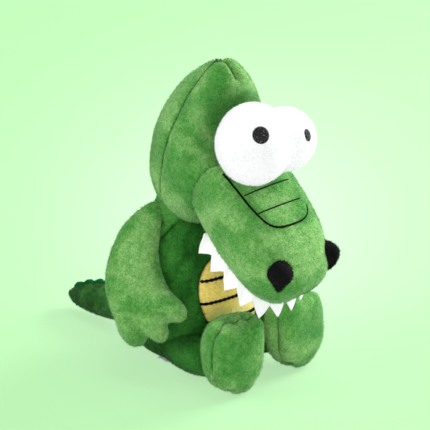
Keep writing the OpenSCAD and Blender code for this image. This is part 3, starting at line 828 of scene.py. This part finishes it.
settle(teeth_strip, ("SOLIDIFY", {"thickness": felt_mm * MM, "offset": 0}))
teeth_strip.data.materials.append(white_felt)
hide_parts("teeth_strip")
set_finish(teeth_strip, "white_felt")
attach(teeth_strip, "head")


# ---- Arms ---------------------------------------------------------------------------------------
# Each arm is a mitten of two panels with three short fingers, sewn round its edge, stuffed, and
# sewn into the torso at the shoulder.
shoulder, elbow, hand = Vector((-14, 0, 119)), Vector((-60.5, 10, 79.5)), Vector((-52, -33, 40))
arm_side = Vector((0.45, -0.89, 0)).normalized()
# The cloth is gathered at the shoulder and stands 3 mm above the end of the stuffing.
arm_form = [shoulder + Vector((0, 0, 3)), elbow, hand, 23.75, 15, 0.53, 0.13, 2.2, arm_side]


def finger_form(at, tip, dia):
    """A straight finger, a little flatter than it is wide."""
    at, tip = Vector(at), Vector(tip)
    return [at, (at + tip) / 2, tip, dia / 2, dia * 0.45, 0.4, 0.4, 2, across]


def merged(name, pieces):
    """Several closed forms as one mesh, which the voxel remesh then joins."""
    bm = bmesh.new()
    for piece in pieces:
        bm.from_mesh(piece.data)
        discard(piece)
    return place_piece(name, bm)


def arm_edge(p):
    """Distance to the seam round the edge of the mitten: the plane through its spine."""
    t = min(max((shoulder.z - p.z) / (shoulder.z - hand.z), 0), 1)
    centre = (1 - t) ** 2 * shoulder + 2 * t * (1 - t) * elbow + t ** 2 * hand
    heading = ((1 - t) * (elbow - shoulder) + t * (hand - elbow)).normalized()
    side = (arm_side - heading * heading.dot(arm_side)).normalized()
    return abs((p - centre).dot(heading.cross(side)))


fingers = [((-66, -12, 62), (-62.5, -25.5, 26), 25), ((-60, -25, 60), (-56.5, -45.5, 33.5), 18),
           ((-56, -30, 68), (-42, -53.5, 50), 18.5)]
arm_right = merged("arm_right_plush", [stuffed("arm", arm_form, 56, 44)]
                   + [stuffed("finger", finger_form(*finger), 32, 24) for finger in fingers])
swell(arm_right, lambda p: 1 - arm_edge(p) / 3, cap_mm=1.2, voxel_mm=2.8)
crumple(arm_right, lambda p: arm_edge(p) + 1.2, groove_mm=0.7, line_mm=0.4)
arm_left = bpy.data.objects.new("arm_left_plush", arm_right.data.copy())
scene.collection.objects.link(arm_left)
for v in arm_left.data.vertices:
    v.co.x *= -1
arm_left.data.flip_normals()
for arm, side in ((arm_right, "right"), (arm_left, "left")):
    arm.data.materials.append(green_plush)
    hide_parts("arm_" + side, "arm_" + side + "_filling")
    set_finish(arm, "green_plush")
    for piece in (arm, pile_of(arm)):
        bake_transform(piece)


# ---- Legs and feet ------------------------------------------------------------------------------
# Each leg is a short tube that ends in an upright oval foot. The foot's front is a flat sole panel,
# gathered into the seam round it.
leg_forms = {"right": [(-22, -18, 23), (-29, -45, 22), (-35, -88, 26), 19, 19, 0.3, 0.3, 2, across],
             "left": [(22, -18, 23), (29, -45, 22), (37, -84, 26), 19, 19, 0.3, 0.3, 2, across]}
foot_z = 31
foot_forms = {"right": [(-29, -73, 30), (-32, -92, foot_z), (-34, -108, foot_z), 24, 31, 0.26, 0.18, 2.3,
                        Vector((1, -0.3, 0)).normalized()],
              "left": [(34, -72, 30), (36, -88, foot_z), (37, -104, foot_z), 24, 31, 0.26, 0.18, 2.3,
                       Vector((1, 0.1, 0)).normalized()]}
# Where round the foot, in radians from its top, the cloth stands out in a corner or is gathered in a
# fold, and by how many millimetres.
foot_corners = ((0.62, 4.6), (-0.5, 1.6), (0.08, -1.6), (1.55, -2.4))
sole_folds = ((-0.35, 4.2), (0.12, 2.6), (0.6, 3.0), (2.7, 4.2), (-2.6, 2.4))
for side in ("right", "left"):
    leg = stuffed("leg_" + side + "_plush", leg_forms[side], 40, 32)
    for v in leg.data.vertices:
        v.co.z *= 0.84
    swell(leg, lambda p: 0.2, cap_mm=1.0, voxel_mm=4.0, floor_z=0.0)
    crumple(leg, lambda p: 50, soft_mm=0.8, floor_z=0.0)
    # Painted shade: the legs have the torso's green, darkened for the shade they lie in.
    leg.data.materials.append(shaded_green_plush)
    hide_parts("leg_" + side, "leg_" + side + "_filling")
    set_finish(leg, "green_plush")
    for piece in (leg, pile_of(leg, 0.7)):
        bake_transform(piece)

    start, bend, end = (Vector(p) for p in foot_forms[side][:3])
    facing = (end - bend).normalized()

    def sole(p):
        """How far a point lies in front of the sole seam."""
        return (p - end).dot(facing) + 12

    foot = stuffed("foot cover", foot_forms[side], 56, 40)
    middle = (start + end) / 2
    sideways = facing.cross(Vector((0, 0, 1))).normalized()
    inner = -1 if side == "right" else 1
    for v in foot.data.vertices:
        p = v.co / MM
        high = (p.z - foot_z) / foot_z
        reach = (p - middle).dot(sideways)
        p += sideways * reach * (0.02 + 0.10 * high if high < 0 else 0.02 + 0.05 * high)
        turn = math.atan2(reach, p.z - foot_z)
        corner = sum(rise * math.exp(-((turn * inner - at) / 0.28) ** 2) for at, rise in foot_corners)
        away = (sideways * reach + Vector((0, 0, p.z - foot_z))).normalized()
        corner *= min(math.hypot(reach, p.z - foot_z) / 22, 1) ** 3
        v.co = (p + away * corner * min(max((p - start).dot(facing) / 20, 0), 1)) * MM
    swell(foot, lambda p: 1 - abs(sole(p)) / 4, cap_mm=1.5, voxel_mm=3.4, floor_z=0.0)
    draw_to_seam(foot, sole, 1)
    crumple(foot, lambda p: abs(sole(p)), groove_mm=1.9, pucker_mm=1.0, soft_mm=0.9, floor_z=0.0)
    for v in foot.data.vertices:
        p = v.co / MM
        gap = sole(p)
        reach = (p - middle).dot(sideways)
        turn = math.atan2(reach, p.z - foot_z)
        at_rim = min(math.hypot(reach, p.z - foot_z) / 23, 1) ** 5
        fold = at_rim * sum(depth * math.exp(-((turn - at) / 0.13) ** 2) for at, depth in sole_folds)
        fade = math.exp(-(gap / (9 if gap > 0 else 5)) ** 2)
        to_middle = Vector((middle.x, middle.y, foot_z)) - p
        to_middle -= facing * to_middle.dot(facing) * 0.3
        v.co = (p + to_middle.normalized() * fold * fade) * MM
        v.co.z = max(v.co.z, 0)
    upper = panel_of(foot, "foot_" + side + "_plush", 0, green_plush)
    sole_panel = panel_of(foot, "sole_" + side + "_plush", 1, green_plush)
    discard(foot)
    for (panel, pile), nodes in ((upper, ("foot_" + side, "foot_" + side + "_filling")),
                                 (sole_panel, ("sole_" + side,))):
        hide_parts(*nodes)
        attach(panel, "leg_" + side)
        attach(pile, "leg_" + side)


# ---- Tail ---------------------------------------------------------------------------------------
# The tail is a tapered tube with a blunt tip, sewn to the back of the seat, with a seam along its
# top.
tail_form = [(0, 22, 24), (0, 70.7, 18), (0, 114, 10), 14, 14.5, 0.3, 0.5, 2, across]
# Painted shade: the tail's green is darker than the head's, for the shade that it lies in behind the toy.
shaded_tail_green = plush("green short-pile plush, tail", "#437f3b", "#2c6226", "#1d4b1b", rim=0.15)
tail = stuffed("tail_plush", tail_form, 48, 48)
swell(tail, lambda p: 1 - abs(p.x) / 4, cap_mm=1.0, voxel_mm=3.2, floor_z=0.0)
crumple(tail, lambda p: abs(p.x) if p.z > 14 else 50, soft_mm=0.7, floor_z=0.0)
tail_skin = BVHTree.FromObject(tail, bpy.context.evaluated_depsgraph_get())
tail.data.materials.append(shaded_tail_green)
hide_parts("tail_cover", "tail_filling")
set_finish(tail, "green_plush")
for piece in (tail, pile_of(tail, 0.9, 1.4)):
    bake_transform(piece)


# ---- Tail felt ----------------------------------------------------------------------------------
# A wavy strip of dark green felt stands up out of the seam along the top of the tail.
green_felt, t = new_material("dark green wool felt")
place = add(t, "ShaderNodeTexCoord").outputs["Object"]
fibres = add(t, "ShaderNodeTexNoise", Vector=place, Scale=1000 / 1.4, Detail=3.0).outputs["Fac"]
felt_tone = blend_colours(t, fibres, linear("#0a5a2c"), linear("#127440"))
spine_skin = add(t, "ShaderNodeBsdfPrincipled", Base_Color=felt_tone, Roughness=0.95, Specular_IOR_Level=0.1)
add(t, "ShaderNodeOutputMaterial", Surface=spine_skin.outputs[0])
bm = bmesh.new()
bmesh.ops.create_grid(bm, x_segments=90, y_segments=5, size=0.5)
low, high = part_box("tail_spikes")
for v in bm.verts:
    share = v.co.x + 0.5
    up = v.co.y + 0.5
    y = low[1] + (high[1] - low[1]) * share
    hit, _, _, _ = tail_skin.ray_cast(Vector((0, y, 0.09)), Vector((0, 0, -1)))
    base = hit.z if hit else low[2]
    ripple = 0.5 + 0.5 * math.sin(share * math.pi * 7)
    rise = 0.0042 + 0.0014 * ripple
    v.co = Vector((0.0009 * math.sin(share * 24) * up, y, base - 0.0016 + up * rise * min(share * 9, 1)))
spine_area = sum(f.calc_area() for f in bm.faces)
tail_felt = place_piece("tail_felt", bm)
settle(tail_felt, ("SOLIDIFY", {"thickness": felt_mm * MM, "offset": 0}))
tail_felt.data.materials.append(green_felt)
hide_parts("tail_spikes")
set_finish(tail_felt, "green_felt")
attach(tail_felt, "tail")
